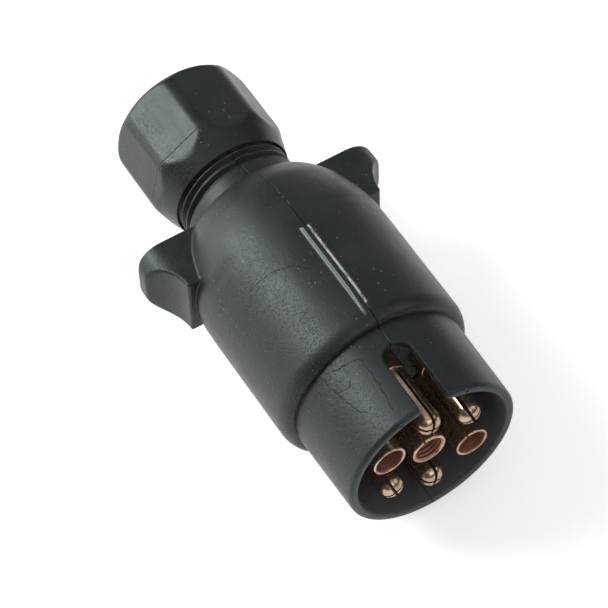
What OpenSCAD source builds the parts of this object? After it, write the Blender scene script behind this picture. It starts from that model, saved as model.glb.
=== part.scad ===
// Seven-contact trailer plug: two half shells held together by a gland nut,
// with seven brass contacts in an insulating carrier.
// The plug's axis lies along Y. The mouth plane is y = 0 and faces -Y, the keyway
// is at the top (+Z), the finger wings point along X and the cable enters from +Y.

/* [Mating sleeve] */
// Outer radius of the mating sleeve
sleeve_r = 20.6; // [20:0.1:21]
// Inner radius of the mouth
mouth_r = 18.5; // [18:0.1:18.8]
// Width of the keyway in the sleeve
keyway_w = 6.7; // [5:0.1:8]
// Distance from the mouth to the round end of the keyway
keyway_depth = 16.8; // [14:0.1:18]
// Depth at which the sleeve meets the body
sleeve_depth = 21.3; // [21:0.1:22]

/* [Body] */
// Radius of the body
body_r = 23.3; // [23:0.1:24]
// Radius of the wire chamber
chamber_r = 20.9; // [20:0.1:21.2]
// Distance from the mouth to the start of the rear dome
dome_start = 55; // [53:0.5:56]
// Distance from the mouth to the front of the neck collar
collar_start = 74.3; // [74:0.1:75]
// Width of the raised rib along the top seam
rib_w = 3.0; // [2:0.1:4]

/* [Finger wings] */
// Distance from the axis to a wing's tip
wing_reach = 30.3; // [28:0.1:32]
// Thickness of a wing
wing_h = 17; // [14:0.5:18]
// Distance from the mouth to a wing's front end
wing_front = 59.4; // [58:0.1:61]
// Distance from the mouth to a wing's rear edge
wing_rear = 73.1; // [72:0.1:73.5]
// Radius of the finger scoop in a wing
scoop_r = 10.7; // [10:0.1:12]

/* [Neck and gland nut] */
// Outer radius of the smooth neck collar
collar_r = 14.3; // [14.1:0.1:14.5]
// Outer radius of the neck thread
thread_r = 14; // [13.8:0.05:14.05]
// Pitch of the neck thread
thread_pitch = 2; // [1.5:0.25:2.5]
// Distance from the mouth to the end of the neck
neck_end = 96; // [94:0.5:96]
// Distance from the mouth to the gland nut's front lip
nut_start = 82.4; // [82:0.1:83]
// Distance from the mouth to the gland nut's rear face
nut_end = 108; // [107.5:0.1:109]
// Outer radius of the gland nut
nut_r = 16.95; // [16.5:0.05:17.5]
// Distance from the axis to each of the nut's eight flats
nut_flat_r = 15.8; // [15.6:0.1:16.4]
// Radius of the cable hole in the nut
nut_hole_r = 7.5; // [7:0.1:8]
// Inner radius of the rubber cable seal
seal_bore_r = 6; // [5.2:0.1:6.5]

/* [Contacts] */
// Radius of the circle that the outer contacts stand on
contact_circle_r = 11.5; // [11:0.1:12]
// Angle by which the carrier sits turned from the keyway
carrier_turn = -3.8; // [-5:0.1:5]
// Radius of a split pin
pin_r = 2.85; // [2.5:0.05:3]
// Radius of the bore of a tube contact
tube_bore_r = 3; // [2.6:0.05:3.1]
// Outer radius of a tube contact
tube_r = 3.95; // [3.6:0.05:4.2]
// Distance from the mouth to the carrier's front face
carrier_face = 19.5; // [19:0.1:20]

/* [Hidden] */
$fn = 96;
eps = 0.02;
arc_steps = 6;
// shell interior
groove_front = 20.8;
groove_rear = 24.2;
groove_r = 19.7;
stop_rear = 26.2;
stop_r = 18;
chamber_start = 28;
neck_bore_r = 9.6;
seal_pocket_start = 86;
seal_pocket_r = 11;
// shell exterior
shoulder_r = 21.2;
shoulder_end = 25;
collar_end = 77.5;
thread_root_r = 12.9;
thread_first = 79.6;
thread_count = 8;
rib_front = 25;
rib_rear = 50.5;
rib_top_r = 24.1;
wing_edge_r = 6.5;
wing_corner_r = 1.8;
scoop_root = 24.5;
// locating pegs on the left half and their holes in the right half
peg_r = 0.7;
peg_hole_r = 0.75;
peg_reach = 2;
peg_y = [31, 51];
// contacts
collar_pin_r = 3.3;
collar_pin_len = 1.7;
slit_w = 0.6;
tube_slit_w = 0.35;
slit_depth = 14.5;
tube_bore_end = 17.8;
shank_r = 2.6;
shank_hole_r = 2.65;
carrier_r = 18.3;
carrier_rear = 30;
flange_r = 19.5;
flange_front = 21;
flange_rear = 24;
carrier_back_r = 17.6;
barrel_r = 3.3;
barrel_end = 42;
wire_hole_r = 1.9;
wire_hole_depth = 9;
screw_y = 37;
screw_r = 1.2;
screw_hole_r = 1.25;
screw_low = 1.2;
screw_top = 4.6;
driver_slot_w = 0.45;
driver_slot_depth = 0.7;
centre_tube_r = 4.15;
centre_tube_start = 1.45;
tube_start = 0.7;
// angle round the axis from the keyway towards +X, and the roll of each contact's saw cuts
key_angle = 0;
pin_tips = [-0.8, -0.4, 0.1, -0.4];
pin_angles = [0, 60, 180, 240];
pin_rolls = [17, 15, 17, 15];
tube_angles = [120, 300];
tube_rolls = [-135, -45];
centre_tube_roll = -15;
// cable seal, slip washer and nut
seal_rear = 98;
seal_lip_r = 12.3;
washer_start = 102.2;
washer_t = 1.5;
washer_r = 13.9;
washer_hole_r = 7.9;
nut_bore_r = 14.2;
nut_wall = 4.2;
nut_lip_r = 14.5;
nut_cone_mid_y = 87.3;
nut_cone_mid_r = 15.95;
nut_cone_end = 89.8;
nut_round = 4;
nut_chamfer = 0.25;

// points of a quarter ellipse in (radius, distance) from one end to the other;
// it leaves [r0, y0] along the axis when bulge is 1 and across it when bulge is 0
function quarter(r0, y0, r1, y1, bulge) = [
    for (i = [0 : arc_steps])
        let (a = 90 * i / arc_steps)
        bulge == 1
            ? [r0 + (r1 - r0) * (1 - cos(a)), y0 + (y1 - y0) * sin(a)]
            : [r0 + (r1 - r0) * sin(a), y0 + (y1 - y0) * (1 - cos(a))]
];

// half outline of the shells from the mouth to the end of the neck
shell_outline = concat(
    [[0, 0], [sleeve_r, 0], [sleeve_r, sleeve_depth]],
    quarter(shoulder_r, sleeve_depth, body_r, shoulder_end, 0),
    [[body_r, dome_start], [23.2, 57.3], [22.75, 59.8], [21.9, 63.5], [20.8, 67]],
    [[18.95, 70.8], [17.9, 72.7], [16.9, collar_start - 0.5], [collar_r, collar_start]],
    [[collar_r, collar_end], [thread_root_r, collar_end], [thread_root_r, neck_end], [0, neck_end]]
);
// half outline of the space inside the shells
shell_space = [
    [0, -1], [mouth_r, -1], [mouth_r, groove_front], [groove_r, groove_front],
    [groove_r, groove_rear], [stop_r, groove_rear], [stop_r, stop_rear],
    [chamber_r, chamber_start], [chamber_r, dome_start], [20.3, 59.5], [18.4, 66.5],
    [neck_bore_r, 73.5], [neck_bore_r, seal_pocket_start],
    [seal_pocket_r, seal_pocket_start], [seal_pocket_r, neck_end + 1], [0, neck_end + 1]
];

// turns a half outline of (radius, distance) round the plug's axis
module turned(outline) {
    rotate([-90, 0, 0])
        rotate_extrude()
            polygon(outline);
}

// a cylinder on the plug's axis from y0 to y1
module rod(r, y0, y1) {
    translate([0, y0, 0])
        rotate([-90, 0, 0])
            cylinder(r = r, h = y1 - y0);
}

// moves children to a place on the contact circle, their own +Z pointing outwards
module at_contact(angle, circle_r) {
    rotate([0, angle + carrier_turn, 0])
        translate([0, 0, circle_r])
            children();
}

module thread_ridges() {
    for (i = [0 : thread_count - 1])
        translate([0, thread_first + i * thread_pitch, 0])
            turned([
                [thread_root_r - 0.5, -0.8], [thread_root_r, -0.8], [thread_r, -0.15],
                [thread_r, 0.15], [thread_root_r, 0.8], [thread_root_r - 0.5, 0.8]
            ]);
}

// one finger wing on the +X side: its outline seen from above, with the scoop for the
// finger, rounded at the tip when seen from the front
module wing() {
    intersection() {
        translate([0, 0, -wing_h / 2])
            linear_extrude(wing_h)
                difference() {
                    union() {
                        translate([0, wing_front])
                            square([wing_reach - wing_corner_r, wing_rear - wing_front]);
                        translate([0, wing_front])
                            square([wing_reach, wing_rear - wing_front - wing_corner_r]);
                        translate([wing_reach - wing_corner_r, wing_rear - wing_corner_r])
                            circle(r = wing_corner_r);
                    }
                    translate([scoop_root + scoop_r, wing_front])
                        circle(r = scoop_r);
                }
        translate([0, wing_rear + 1, 0])
            rotate([90, 0, 0])
                linear_extrude(wing_rear - wing_front + 2)
                    union() {
                        translate([0, -wing_h / 2])
                            square([wing_reach - wing_edge_r, wing_h]);
                        translate([0, wing_edge_r - wing_h / 2])
                            square([wing_reach, wing_h - 2 * wing_edge_r]);
                        for (side = [-1, 1])
                            translate([wing_reach - wing_edge_r, side * (wing_h / 2 - wing_edge_r)])
                                circle(r = wing_edge_r);
                    }
    }
}

module seam_rib() {
    translate([-rib_w / 2, 0, 0])
        rotate([90, 0, 90])
            linear_extrude(rib_w)
                polygon([
                    [rib_front, body_r - 1.5], [rib_front, body_r - 0.1],
                    [rib_rear - 1, rib_top_r], [rib_rear, rib_top_r - 0.4], [rib_rear, body_r - 1.5]
                ]);
}

module keyway() {
    translate([0, 0, mouth_r / 2])
        linear_extrude(sleeve_r)
            union() {
                translate([-keyway_w / 2, -1])
                    square([keyway_w, keyway_depth - keyway_w / 2 + 1]);
                translate([0, keyway_depth - keyway_w / 2])
                    circle(d = keyway_w);
            }
}

module pegs(r, reach) {
    for (y = peg_y, side = [-1, 1])
        translate([-1, y, side * (chamber_r + body_r) / 2])
            rotate([0, 90, 0])
                cylinder(r = r, h = reach + 1);
}

// the half of the housing on the +X side, before pegs or holes are added
module half_shell() {
    difference() {
        intersection() {
            union() {
                turned(shell_outline);
                thread_ridges();
                seam_rib();
                wing();
            }
            translate([0, -1, -body_r - 5])
                cube([wing_reach + 5, neck_end + 2, 2 * body_r + 10]);
        }
        turned(shell_space);
        keyway();
    }
}

module shell_right() {
    color([0.13, 0.14, 0.14])
        difference() {
            half_shell();
            pegs(peg_hole_r, peg_reach + 0.1);
        }
}

module shell_left() {
    color([0.12, 0.13, 0.13]) {
        mirror([1, 0, 0])
            half_shell();
        pegs(peg_r, peg_reach);
    }
}

module contact_carrier() {
    color([0.18, 0.18, 0.18])
        difference() {
            turned([
                [0, carrier_face], [carrier_r, carrier_face], [carrier_r, flange_front],
                [flange_r, flange_front], [flange_r, flange_rear], [carrier_back_r, flange_rear],
                [carrier_back_r, carrier_rear], [0, carrier_rear]
            ]);
            rod(shank_hole_r, carrier_face - 1, carrier_rear + 1);
            for (angle = concat(pin_angles, tube_angles))
                at_contact(angle, contact_circle_r)
                    rod(shank_hole_r, carrier_face - 1, carrier_rear + 1);
        }
}

// the back of every contact: a shank through the carrier and a barrel that takes the
// wire from behind, with a screw hole on the barrel's outer side
module contact_back() {
    difference() {
        union() {
            rod(shank_r, carrier_face - eps, carrier_rear + eps);
            turned([
                [0, carrier_rear], [barrel_r, carrier_rear], [barrel_r, barrel_end - 0.4],
                [barrel_r - 0.4, barrel_end], [0, barrel_end]
            ]);
        }
        rod(wire_hole_r, barrel_end - wire_hole_depth, barrel_end + 1);
        translate([0, screw_y, 0])
            cylinder(r = screw_hole_r, h = barrel_r + 1);
    }
}

module split_pin(tip, roll) {
    color([0.72, 0.52, 0.33]) {
        difference() {
            turned(concat(
                quarter(0.9, tip, pin_r, tip + 2.4, 0),
                [[pin_r, carrier_face - collar_pin_len], [collar_pin_r, carrier_face - collar_pin_len]],
                [[collar_pin_r, carrier_face], [0, carrier_face], [0, tip]]
            ));
            rotate([0, roll, 0])
                for (turn = [0, 90])
                    rotate([0, turn, 0])
                        translate([-slit_w / 2, tip - 1, -pin_r - 1])
                            cube([slit_w, slit_depth - tip + 1, 2 * pin_r + 2]);
        }
        contact_back();
    }
}

module tube_contact(start, outer_r, roll) {
    color([0.74, 0.5, 0.34]) {
        difference() {
            turned([
                [0, start], [outer_r - 0.35, start], [outer_r, start + 0.35],
                [outer_r, carrier_face], [0, carrier_face]
            ]);
            turned([
                [0, start - 1], [tube_bore_r + 0.3, start - 1], [tube_bore_r + 0.3, start],
                [tube_bore_r, start + 0.3], [tube_bore_r, tube_bore_end], [0, tube_bore_end]
            ]);
            rotate([0, roll, 0])
                translate([-tube_slit_w / 2, start - 1, 0])
                    cube([tube_slit_w, slit_depth - start + 1, outer_r + 1]);
        }
        contact_back();
    }
}

module terminal_screw() {
    color([0.75, 0.73, 0.68])
        translate([0, screw_y, 0])
            difference() {
                translate([0, 0, screw_low])
                    cylinder(r = screw_r, h = screw_top - screw_low);
                translate([-driver_slot_w / 2, -screw_r - 1, screw_top - driver_slot_depth])
                    cube([driver_slot_w, 2 * screw_r + 2, driver_slot_depth + 1]);
            }
}

module cable_seal() {
    color([0.1, 0.1, 0.1])
        difference() {
            turned([
                [0, seal_pocket_start + 0.1], [seal_pocket_r - 0.1, seal_pocket_start + 0.1],
                [seal_pocket_r - 0.1, neck_end + 0.05], [seal_lip_r, neck_end + 0.05],
                [seal_lip_r, seal_rear - 0.5], [seal_lip_r - 0.5, seal_rear], [0, seal_rear]
            ]);
            rod(seal_bore_r, seal_pocket_start - 1, seal_rear + 1);
        }
}

module slip_washer() {
    color([0.3, 0.31, 0.32])
        difference() {
            rod(washer_r, washer_start, washer_start + washer_t);
            rod(washer_hole_r, washer_start - 1, washer_start + washer_t + 1);
        }
}

module gland_nut() {
    color([0.11, 0.12, 0.12])
        difference() {
            intersection() {
                turned(concat(
                    [[0, nut_start], [nut_lip_r - nut_chamfer, nut_start]],
                    [[nut_lip_r, nut_start + nut_chamfer], [nut_cone_mid_r, nut_cone_mid_y]],
                    [[nut_r, nut_cone_end], [nut_r, nut_end - nut_round]],
                    quarter(nut_r, nut_end - nut_round, nut_r - nut_round, nut_end, 1),
                    [[0, nut_end]]
                ));
                rotate([0, -31.5 + 22.5, 0])
                    translate([0, nut_start - 1, 0])
                        rotate([-90, 0, 0])
                            cylinder(r = nut_flat_r / cos(22.5), h = nut_end - nut_start + 2, $fn = 8);
            }
            turned([
                [0, nut_start - 1], [nut_bore_r + 0.1, nut_start - 1], [nut_bore_r + 0.1, nut_start],
                [nut_bore_r, nut_start + 1], [nut_bore_r, nut_end - nut_wall], [0, nut_end - nut_wall]
            ]);
            rod(nut_hole_r, nut_start, nut_end + 1);
        }
}

shell_left();
shell_right();
contact_carrier();
at_contact(pin_angles[0], contact_circle_r) split_pin(pin_tips[0], pin_rolls[0]);  // pin_contact_key
at_contact(pin_angles[1], contact_circle_r) split_pin(pin_tips[1], pin_rolls[1]);  // pin_contact_upper_right
at_contact(pin_angles[2], contact_circle_r) split_pin(pin_tips[2], pin_rolls[2]);  // pin_contact_bottom
at_contact(pin_angles[3], contact_circle_r) split_pin(pin_tips[3], pin_rolls[3]);  // pin_contact_lower_left
at_contact(key_angle, 0) tube_contact(centre_tube_start, centre_tube_r, centre_tube_roll);  // tube_contact_centre
at_contact(tube_angles[0], contact_circle_r) tube_contact(tube_start, tube_r, tube_rolls[0]);  // tube_contact_lower_right
at_contact(tube_angles[1], contact_circle_r) tube_contact(tube_start, tube_r, tube_rolls[1]);  // tube_contact_upper_left
at_contact(pin_angles[0], contact_circle_r) terminal_screw();  // terminal_screw_key
at_contact(pin_angles[1], contact_circle_r) terminal_screw();  // terminal_screw_upper_right
at_contact(tube_angles[0], contact_circle_r) terminal_screw();  // terminal_screw_lower_right
at_contact(pin_angles[2], contact_circle_r) terminal_screw();  // terminal_screw_bottom
at_contact(pin_angles[3], contact_circle_r) terminal_screw();  // terminal_screw_lower_left
at_contact(tube_angles[1], contact_circle_r) terminal_screw();  // terminal_screw_upper_left
at_contact(key_angle, 0) terminal_screw();  // terminal_screw_centre
cable_seal();
slip_washer();
gland_nut();
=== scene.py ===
"""Looks of the seven-contact trailer plug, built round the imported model.

Lengths inside this script are millimetres; mesh_piece() turns them into metres. The plug's axis is Y,
the mouth plane is y = 0 and faces -Y, and the keyway is at +Z. Most pieces are described by a signed
distance (negative inside), which surface_net() turns into a closed mesh with true fillets.
"""
from math import cos, pi, radians, sin, tan

import bmesh
import bpy
import numpy as np
from mathutils import Matrix, Vector


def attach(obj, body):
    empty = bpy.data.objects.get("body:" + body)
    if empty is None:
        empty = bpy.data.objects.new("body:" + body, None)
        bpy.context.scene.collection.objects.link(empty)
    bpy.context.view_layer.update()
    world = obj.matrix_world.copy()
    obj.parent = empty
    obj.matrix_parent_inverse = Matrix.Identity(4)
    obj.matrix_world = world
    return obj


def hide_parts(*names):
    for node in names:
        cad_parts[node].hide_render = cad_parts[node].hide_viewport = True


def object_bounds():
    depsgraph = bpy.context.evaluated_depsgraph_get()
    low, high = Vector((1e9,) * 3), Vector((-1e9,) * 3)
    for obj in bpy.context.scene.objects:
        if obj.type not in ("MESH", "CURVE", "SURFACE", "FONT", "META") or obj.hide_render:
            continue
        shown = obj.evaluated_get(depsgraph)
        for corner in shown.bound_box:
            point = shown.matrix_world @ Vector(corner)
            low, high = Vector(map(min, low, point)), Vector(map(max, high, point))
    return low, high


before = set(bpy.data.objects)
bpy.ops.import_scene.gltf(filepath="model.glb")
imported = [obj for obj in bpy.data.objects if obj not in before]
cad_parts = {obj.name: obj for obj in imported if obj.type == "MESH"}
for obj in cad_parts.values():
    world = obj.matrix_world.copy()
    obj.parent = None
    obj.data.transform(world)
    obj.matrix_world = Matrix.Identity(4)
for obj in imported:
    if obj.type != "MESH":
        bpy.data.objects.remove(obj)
cad_low, cad_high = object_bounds()

MM = 0.001

# ---------------------------------------------------------------- sizes
# mating sleeve, mouth, keyway and the two ejector marks on the sleeve's rim
SLEEVE_R, SLEEVE_END, SLEEVE_FLARE = 20.5, 21.3, 0.014
RIM_ROUND, RIM_DEPTH = 0.9, 1.1
MOUTH_R = 18.5
KEYWAY_HALF, KEYWAY_ROUND_Y, KEYWAY_ABOVE, KEYWAY_EDGE = 3.35, 13.45, 8.0, 0.35
EJECTOR_TURN, EJECTOR_PLACE_R, EJECTOR_R, EJECTOR_FRONT = radians(23.8), 19.6, 0.65, 0.35
# half of the gap between the shells, and the roundness of their edges along it
SPLIT_HALF, SPLIT_EDGE = 0.03, 0.12
# body, collar, and the neck with its thread
BODY_R = 23.25
COLLAR_R, COLLAR_FRONT, COLLAR_REAR = 14.25, 73.4, 77.5
THREAD_ROOT, THREAD_CREST, PITCH, THREAD_PHASE = 12.95, 13.95, 2.0, 0.87
THREAD_FOOT, THREAD_FLANK = 0.85, 0.7
# turns the thread's radial distance into about its true one
THREAD_LEAN = 0.6
NECK_END = 96.0
# the space inside the shells: the carrier's groove, the ledge behind it, the wire chamber and the neck
GROOVE_R, GROOVE_FRONT, GROOVE_REAR = 19.7, 20.8, 24.2
LEDGE_R, CHAMBER_R, NECK_BORE_R = 18.0, 20.8, 9.6
SEAL_POCKET_R, SEAL_SEAT, NECK_MOUTH = 11.0, 86.0, 98.0
# finger wings and the scoop in front of each
WING_TIP, WING_HALF, WING_ROUND = 30.3, 8.5, 6.5
WING_FRONT, WING_REAR = 59.4, 73.05
WING_CORNER, WING_EDGE, WING_FILLET = 1.8, 0.6, 0.35
SCOOP_X, SCOOP_R, SCOOP_EDGE = 35.2, 10.7, 0.5
# rib on the top seam
RIB_HALF, RIB_FRONT, RIB_REAR, RIB_HEIGHT = 1.55, 24.0, 50.4, 0.72
RIB_RISE, RIB_LEAN, RIB_ABOVE = 7.0, 0.78, 18.0
RIB_EDGE, RIB_END_EDGE, RIB_FILLET = 0.12, 0.2, 0.25
# gland nut
NUT_FRONT, NUT_REAR = 82.4, 108.0
NUT_R, NUT_FLAT, NUT_CORNER, NUT_ROUND = 16.93, 15.85, 4.4, 4.0
NUT_EDGE = 0.25
NUT_SEAM, NUT_SEAM_HALF, NUT_SEAM_DEPTH = 90.2, 0.1, 0.05
NUT_BORE_R, NUT_FLOOR, CABLE_HOLE_R = 14.15, 103.8, 7.5
NUT_THREAD_FRONT, NUT_THREAD_REAR = 84.6, 101.0
NUT_TURN = radians(-31.5)
# the circle that the contacts stand on, and how far they are turned from the keyway
CIRCLE_R, CARRIER_TURN = 11.5, -3.8


# ---------------------------------------------------------------- distance shapes
def round_union(a, b, r):
    """Union of two distances with a fillet of radius r in the corner between them."""
    return np.maximum(r, np.minimum(a, b)) - np.hypot(np.maximum(r - a, 0), np.maximum(r - b, 0))


def round_both(a, b, r):
    """Intersection of two distances with the edge between them rounded to radius r."""
    return np.minimum(-r, np.maximum(a, b)) + np.hypot(np.maximum(r + a, 0), np.maximum(r + b, 0))


def round_cut(a, b, r):
    """Distance a with b cut out of it, its new edge rounded to radius r."""
    return round_both(a, -b, r)


def outline_distance(u, v, outline):
    """Signed distance of the points (u, v) from a closed outline."""
    u, v = np.broadcast_arrays(np.asarray(u, float), np.asarray(v, float))
    nearest = np.full(u.shape, 1e9)
    inside = np.zeros(u.shape, bool)
    points = np.asarray(outline, float)
    for (u0, v0), (u1, v1) in zip(points, np.roll(points, -1, axis=0)):
        du, dv = u1 - u0, v1 - v0
        if du == dv == 0:
            continue
        share = np.clip(((u - u0) * du + (v - v0) * dv) / (du * du + dv * dv), 0, 1)
        nearest = np.minimum(nearest, (u - u0 - share * du) ** 2 + (v - v0 - share * dv) ** 2)
        crosses = (v0 > v) != (v1 > v)
        if dv:
            inside ^= crosses & (u < u0 + (v - v0) * du / dv)
    return np.where(inside, -1, 1) * np.sqrt(nearest)


def smooth_curve(points, steps=5):
    """A smooth curve through the points, as a finer list of points."""
    p = np.asarray(points, float)
    p = np.vstack([2 * p[0] - p[1], p, 2 * p[-1] - p[-2]])
    curve = []
    for a, b, c, d in zip(p, p[1:], p[2:], p[3:]):
        for t in np.arange(steps) / steps:
            line = 2 * b + (c - a) * t
            square = (2 * a - 5 * b + 4 * c - d) * t ** 2
            cube = (3 * b - a - 3 * c + d) * t ** 3
            curve.append((line + square + cube) / 2)
    return [tuple(q) for q in curve] + [tuple(p[-2])]


def quarter(u0, v0, u1, v1, along_v_first, steps=12):
    """Points of a quarter ellipse between two corners."""
    points = []
    for a in np.linspace(0, pi / 2, steps + 1):
        if along_v_first:
            points.append((u0 + (u1 - u0) * (1 - cos(a)), v0 + (v1 - v0) * sin(a)))
        else:
            points.append((u0 + (u1 - u0) * sin(a), v0 + (v1 - v0) * (1 - cos(a))))
    return points


def thread_radius(turn, y, root, crest, widen=0.0):
    """Radius of a right-handed screw thread's surface, its ridge made wider by widen on each side."""
    from_ridge = np.abs((y / PITCH - turn / (2 * pi) - THREAD_PHASE + 0.5) % 1.0 - 0.5) * PITCH
    return root + (crest - root) * np.clip((THREAD_FOOT + widen - from_ridge) / THREAD_FLANK, 0, 1)


# ---------------------------------------------------------------- surface net
# how settle() works: its passes, the step that measures the slope, the least slope squared that it
# divides by, and the longest move in one pass
PASSES, SLOPE_STEP, LEAST_SLOPE, LONGEST_MOVE = 3, 0.004, 0.25, 0.3
# how mesh_piece() cleans up: vertices this close together become one, edges and faces this small are
# dissolved, and edges bent by more than this angle are shaded sharp
JOIN_WITHIN, DEGENERATE_WITHIN = 0.002 * MM, 0.001 * MM
SHARP_ANGLE = radians(35)


def surface_net(distance, rs, turns, ys, centre=(0.0, 0.0), whole=False):
    """Closed mesh of the zero level of distance(r, turn, y), on a grid of radii and angles round the axis
    at centre (x, z), and of places along Y. whole says that the angles go right round."""
    r, turn, y = rs[:, None, None], turns[None, :, None], ys[None, None, :]
    value = distance(r, turn, y) + np.zeros((len(rs), len(turns), len(ys)))
    x, y, z = np.broadcast_arrays(r * np.sin(turn), y, r * np.cos(turn))
    if whole:
        x, y, z, value = (np.concatenate([g, g[:, :1]], axis=1) for g in (x, y, z, value))
    # the rim of the grid is just outside, so that the surface closes
    just_outside = 1e-3
    for edge in (value[:, :, :1], value[:, :, -1:], value[-1:]):
        np.copyto(edge, np.maximum(edge, just_outside))
    grid = np.stack([x, y, z], -1)
    solid = value < 0
    corner = [(i, j, k) for i in (0, 1) for j in (0, 1) for k in (0, 1)]
    ni, nj, nk = (n - 1 for n in value.shape)

    def part(array, offset):
        i, j, k = offset
        return array[i:i + ni, j:j + nj, k:k + nk]

    # one vertex in each cell that the surface passes through: the mean of where it crosses the edges
    count = sum(part(solid, c).astype(np.int8) for c in corner)
    mixed = (count > 0) & (count < 8)
    cell = np.full(mixed.shape, -1)
    cell[mixed] = np.arange(mixed.sum())
    total = np.zeros((mixed.sum(), 3))
    hits = np.zeros(mixed.sum())
    edges = [
        (p, q) for p in corner for q in corner
        if p < q and sum(m != n for m, n in zip(p, q)) == 1
    ]
    for p, q in edges:
        vp, vq = part(value, p)[mixed], part(value, q)[mixed]
        cut = (vp < 0) != (vq < 0)
        share = np.where(cut, vp / np.where(cut, vp - vq, 1), 0)[:, None]
        crossing = part(grid, p)[mixed] * (1 - share) + part(grid, q)[mixed] * share
        total += np.where(cut[:, None], crossing, 0)
        hits += cut
    verts = total / hits[:, None]
    # one quad round each grid edge whose ends lie on different sides of the surface
    quads = []
    for axis in range(3):
        lo = [slice(None)] * 3
        hi = [slice(None)] * 3
        lo[axis], hi[axis] = slice(None, -1), slice(1, None)
        index = np.argwhere(solid[tuple(lo)] != solid[tuple(hi)])
        b, c = [n for n in range(3) if n != axis]
        cells = []
        keep = np.ones(len(index), bool)
        for db, dc in ((-1, -1), (0, -1), (0, 0), (-1, 0)):
            at = index.copy()
            at[:, b] += db
            at[:, c] += dc
            if whole:
                at[:, 1] %= nj
            keep &= np.all((at >= 0) & (at < mixed.shape), axis=1)
            cells.append(at)
        if whole and axis != 1:
            keep &= index[:, 1] < nj
        ids = [cell[tuple(np.clip(at, 0, np.array(mixed.shape) - 1).T)] for at in cells]
        quads.append(np.stack(ids, 1)[keep])
    verts = settle(distance, verts, min(np.diff(rs).min(), LONGEST_MOVE))
    return verts + np.array([centre[0], 0, centre[1]]), np.concatenate(quads)


def settle(distance, verts, limit):
    """Moves every vertex on to the zero level along the distance's gradient."""
    shifts = ((0, 0, 0), (1, 0, 0), (0, 1, 0), (0, 0, 1))
    for _ in range(PASSES):
        value, *near = (
            distance(np.hypot(x, z), np.arctan2(x, z), y)
            for x, y, z in (verts.T + np.array(shift)[:, None] * SLOPE_STEP for shift in shifts))
        slope = (np.stack(near, 1) - value[:, None]) / SLOPE_STEP
        size = np.maximum((slope ** 2).sum(1), LEAST_SLOPE)
        move = -(value / size)[:, None] * slope
        length = np.linalg.norm(move, axis=1, keepdims=True)
        verts = verts + move * np.minimum(1, limit / np.maximum(length, 1e-9))
    return verts


def mesh_piece(name, verts, faces):
    """A mesh object from millimetre points, its open loops closed, shaded smooth but for sharp edges."""
    mesh = bpy.data.meshes.new(name)
    mesh.from_pydata((np.asarray(verts) * MM).tolist(), [], np.asarray(faces).tolist())
    bm = bmesh.new()
    bm.from_mesh(mesh)
    bmesh.ops.remove_doubles(bm, verts=bm.verts, dist=JOIN_WITHIN)
    bmesh.ops.dissolve_degenerate(bm, edges=bm.edges, dist=DEGENERATE_WITHIN)
    rims = [e for e in bm.edges if e.is_boundary]
    if rims:
        bmesh.ops.holes_fill(bm, edges=rims, sides=0)
    bmesh.ops.recalc_face_normals(bm, faces=bm.faces)
    if bm.calc_volume(signed=True) < 0:
        bmesh.ops.reverse_faces(bm, faces=bm.faces)
    for face in bm.faces:
        face.smooth = True
    bm.to_mesh(mesh)
    bm.free()
    mesh.set_sharp_from_angle(angle=SHARP_ANGLE)
    piece = bpy.data.objects.new(name, mesh)
    bpy.context.scene.collection.objects.link(piece)
    return piece


def spread(*stretches):
    """Grid values from stretches of (start, end, step), without repeats."""
    values = [np.linspace(a, b, max(2, int(round(abs(b - a) / step)) + 1)) for a, b, step in stretches]
    joined = np.concatenate(values)
    return joined[np.concatenate([[True], np.diff(joined) > 1e-6])]


# ---------------------------------------------------------------- housing
# the dome from the body's side to the collar, as (radius, y) points on a smooth curve
DOME = [
    (BODY_R, 54), (23.2, 57), (22.75, 60.2), (21.95, 63.4), (20.75, 67), (19.0, 70.2), (17.7, 72.0),
    (17.0, 72.7),
]
SHELL_OUTLINE = (
    [(0, -0.02), (SLEEVE_R - RIM_ROUND, -0.02)]
    + quarter(SLEEVE_R - RIM_ROUND, 0, SLEEVE_R, RIM_DEPTH, False, 6)
    + [(SLEEVE_R + SLEEVE_FLARE * SLEEVE_END, SLEEVE_END), (SLEEVE_R + 0.1, SLEEVE_END + 0.15)]
    + quarter(21.15, SLEEVE_END + 0.2, BODY_R, 25.2, False)
    + [(BODY_R + 0.02, 40), (BODY_R + 0.05, 53)]
    + smooth_curve(DOME)
    + [(16.2, 73.2), (15.3, COLLAR_FRONT), (COLLAR_R + 0.1, COLLAR_FRONT + 0.02)]
    + [(COLLAR_R, COLLAR_FRONT + 0.2), (COLLAR_R, COLLAR_REAR - 0.25), (COLLAR_R - 0.25, COLLAR_REAR)]
    + [(THREAD_CREST, COLLAR_REAR), (THREAD_CREST, NECK_END - 1.2), (THREAD_ROOT, NECK_END), (0, NECK_END)]
)
SHELL_SPACE = [
    (0, -2), (MOUTH_R + 0.3, -2), (MOUTH_R + 0.3, 0), (MOUTH_R, 0.4), (MOUTH_R, GROOVE_FRONT),
    (GROOVE_R, GROOVE_FRONT), (GROOVE_R, GROOVE_REAR), (LEDGE_R, GROOVE_REAR), (LEDGE_R, 26.2),
    (CHAMBER_R, 28), (CHAMBER_R, 55), (20.2, 59.5), (18.3, 66.5), (NECK_BORE_R, 73.5),
    (NECK_BORE_R, SEAL_SEAT), (SEAL_POCKET_R, SEAL_SEAT), (SEAL_POCKET_R, NECK_MOUTH), (0, NECK_MOUTH),
]


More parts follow.
